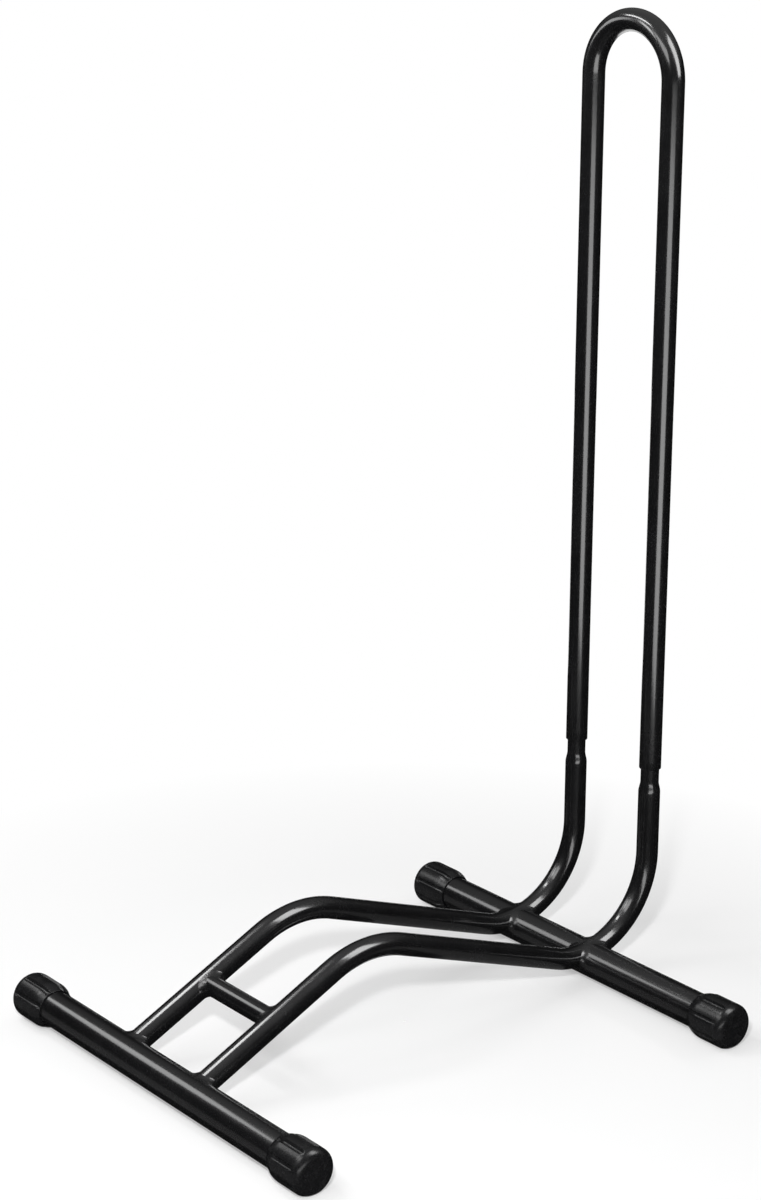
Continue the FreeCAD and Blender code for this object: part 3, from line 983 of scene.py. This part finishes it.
def sector_mesh(name, rings, azimuths=(0, 360), columns=97):
    """Part of a turned surface: (radius, height) pairs, from one azimuth in degrees to another."""
    azimuth = np.linspace(*np.radians(azimuths), columns)
    radii, heights = (np.array(side)[:, None] for side in zip(*rings))
    points = np.stack([radii * np.sin(azimuth), -radii * np.cos(azimuth),
                       np.broadcast_to(heights, (len(rings), columns))], axis=-1)
    quads = grid_faces(len(rings), columns, False).reshape(-1, columns, 4)[:, :-1].reshape(-1, 4)
    return mesh_from(name, points.reshape(-1, 3), quads)


def rectangle_mesh(name, low, high):
    """Rectangle that lies just over the floor, from its low corner to its high one."""
    corners = [(low[0], low[1]), (high[0], low[1]), (high[0], high[1]), (low[0], high[1])]
    points = np.array([(x, y, RECTANGLE_HEIGHT) for x, y in corners])
    return mesh_from(name, points, np.array([[0, 1, 2, 3]]))


def floor_material(white):
    """Plain matt white floor. It shows pale shadows close to the rack and fades into white further out."""
    material, tree, place = new_material("matt_white_floor")
    far = add_node(tree, "ShaderNodeVectorMath", {"operation": "LENGTH"}, i0=place).outputs["Value"]
    matt = add_node(tree, "ShaderNodeBsdfDiffuse", inputs={"Color": (*[c * FLOOR_ALBEDO for c in white], 1)})
    plain = add_node(tree, "ShaderNodeEmission", inputs={"Color": (*white, 1), "Strength": 1})
    seen = combine(tree, "MULTIPLY", see_background(tree), steer(tree, far, *FLOOR_FADE, FLOOR_LIFT, 1))
    mix = add_node(tree, "ShaderNodeMixShader", Fac=seen, i1=matt.outputs[0], i2=plain.outputs[0])
    add_node(tree, "ShaderNodeOutputMaterial", Surface=mix.outputs[0])
    return material


def card_material(name, radiance_low, radiance_high):
    """Matt studio card as reflections see it: one radiance near the floor, and another straight overhead."""
    material, tree, place = new_material(name)
    height = add_node(tree, "ShaderNodeSeparateXYZ", i0=place).outputs["Z"]
    glow = add_node(tree, "ShaderNodeEmission",
                    Strength=steer(tree, height, 0.4 * TENT_R, TENT_R, radiance_low, radiance_high))
    add_node(tree, "ShaderNodeOutputMaterial", Surface=glow.outputs[0])
    return material


def add_card(mesh, radiance_low, radiance_high):
    """Card or tent of the studio that shows in reflections and does nothing else."""
    mesh.materials.append(card_material(mesh.name, radiance_low, radiance_high))
    card = new_object(mesh.name, mesh)
    card.visible_camera = False
    card.visible_diffuse = False
    card.visible_shadow = False
    card.visible_transmission = False
    return card


def heading_to(azimuth, elevation):
    """Unit vector to a direction in radians. Azimuth 0 is in front of the rack, and pi / 2 on its right."""
    level = math.cos(elevation)
    return Vector((math.sin(azimuth) * level, -math.cos(azimuth) * level, math.sin(elevation)))


def add_lamp(name, place, size, radiance, along, use):
    """Rectangular soft box aimed at the rack. Its power is radiance x area x pi.

    use is "both", "reflections" for a box that gloss shows and that lights nothing, or "surfaces" for one
    that lights and doesn't show.
    """
    azimuth, elevation, distance = place
    centre = LAMP_CENTRE + distance * heading_to(math.radians(azimuth), math.radians(elevation))
    light = bpy.data.lights.new(name, "AREA")
    light.shape = "RECTANGLE"
    light.size, light.size_y = size
    light.energy = radiance * size[0] * size[1] * math.pi
    lamp = new_object(name, light)
    face = (centre - LAMP_AIM).normalized()
    side = Vector(along) if along else Vector((0, 0, 1)).cross(face)
    side = (side - face * side.dot(face)).normalized()
    turned = Matrix((side, face.cross(side), face)).transposed()
    lamp.matrix_world = Matrix.Translation(centre) @ turned.to_4x4()
    lamp.visible_camera = False
    lamp.visible_glossy = use != "surfaces"
    lamp.visible_diffuse = use != "reflections"


def make_floor(white):
    """White floor, a black tent round it, and the cards that give the tubes faint reflections low down."""
    disc = sector_mesh("studio_floor", [(0.001, 0), (0.8, 0), (FLOOR_R, 0)])
    disc.materials.append(floor_material(white))
    floor = new_object("studio_floor", disc)
    climb = np.linspace(0, math.pi / 2 - 0.01, 16)
    dome = [(TENT_R * math.cos(e), TENT_FOOT + TENT_R * math.sin(e)) for e in climb]
    tent = add_card(sector_mesh("black_tent", [(0.01, TENT_FOOT), *dome]), TENT_DARK, TENT_TOP)
    cards = [add_card(sector_mesh(name, rings, azimuths), radiance, radiance)
             for name, rings, azimuths, radiance in SECTOR_CARDS]
    cards += [add_card(rectangle_mesh(name, low, high), radiance, radiance)
              for name, low, high, radiance in RECTANGLE_CARDS]


def make_camera(studio):
    """Camera at an azimuth, elevation and distance from its target, rolled about its line of sight."""
    data = bpy.data.cameras.new("photo_camera")
    data.sensor_width = 36
    data.lens = studio.lens
    camera = new_object("photo_camera", data)
    back = heading_to(studio.azimuth, studio.elevation)
    right = Vector((math.cos(studio.azimuth), math.sin(studio.azimuth), 0))
    up = back.cross(right)
    turned_right = right * math.cos(studio.roll) + up * math.sin(studio.roll)
    turned_up = up * math.cos(studio.roll) - right * math.sin(studio.roll)
    turned = Matrix((turned_right, turned_up, back)).transposed()
    place = Vector(studio.target) + back * studio.distance
    camera.matrix_world = Matrix.Translation(place) @ turned.to_4x4()
    bpy.context.scene.camera = camera


class BIKE_RACK_OT_studio(bpy.types.Operator):
    """Make the floor, the soft light and the camera"""
    bl_idname = "bike_rack.studio"
    bl_label = "Studio"

    def execute(self, context):
        white = tuple(context.scene.bike_rack_finish.floor)
        context.scene.view_settings.view_transform = "Standard"
        make_world(white)
        make_floor(white)
        for lamp in LAMPS:
            add_lamp(*lamp)
        make_camera(context.scene.bike_rack_studio)
        return {"FINISHED"}


class BIKE_RACK_PT_sidebar(bpy.types.Panel):
    """Settings and steps of the floor bike rack"""
    bl_idname = "BIKE_RACK_PT_sidebar"
    bl_label = "Floor Bike Rack"
    bl_space_type = "VIEW_3D"
    bl_region_type = "UI"
    bl_category = "Bike Rack"

    def draw(self, context):
        for group in SETTINGS:
            settings = getattr(context.scene, group)
            box = self.layout.box()
            for key in settings.__annotations__:
                box.prop(settings, key)
        for step in STEPS:
            self.layout.operator(step.bl_idname)


SETTINGS = {
    "bike_rack_tubes": BikeRackTubes,
    "bike_rack_caps": BikeRackCaps,
    "bike_rack_finish": BikeRackFinish,
    "bike_rack_studio": BikeRackStudio,
}
STEPS = [
    BIKE_RACK_OT_foot_tubes,
    BIKE_RACK_OT_rails,
    BIKE_RACK_OT_brace,
    BIKE_RACK_OT_hoop,
    BIKE_RACK_OT_welds,
    BIKE_RACK_OT_caps,
    BIKE_RACK_OT_studio,
]


def register():
    for kind in (*SETTINGS.values(), *STEPS, BIKE_RACK_PT_sidebar):
        bpy.utils.register_class(kind)
    for key, kind in SETTINGS.items():
        setattr(bpy.types.Scene, key, bpy.props.PointerProperty(type=kind))


def unregister():
    for key in SETTINGS:
        delattr(bpy.types.Scene, key)
    for kind in (BIKE_RACK_PT_sidebar, *reversed(STEPS), *SETTINGS.values()):
        bpy.utils.unregister_class(kind)


def main():
    """Make every piece and the studio."""
    register()
    bpy.ops.bike_rack.foot_tubes()
    bpy.ops.bike_rack.rails()
    bpy.ops.bike_rack.brace()
    bpy.ops.bike_rack.hoop()
    bpy.ops.bike_rack.welds()
    bpy.ops.bike_rack.caps()
    bpy.ops.bike_rack.studio()


if __name__ == "__main__":
    main()
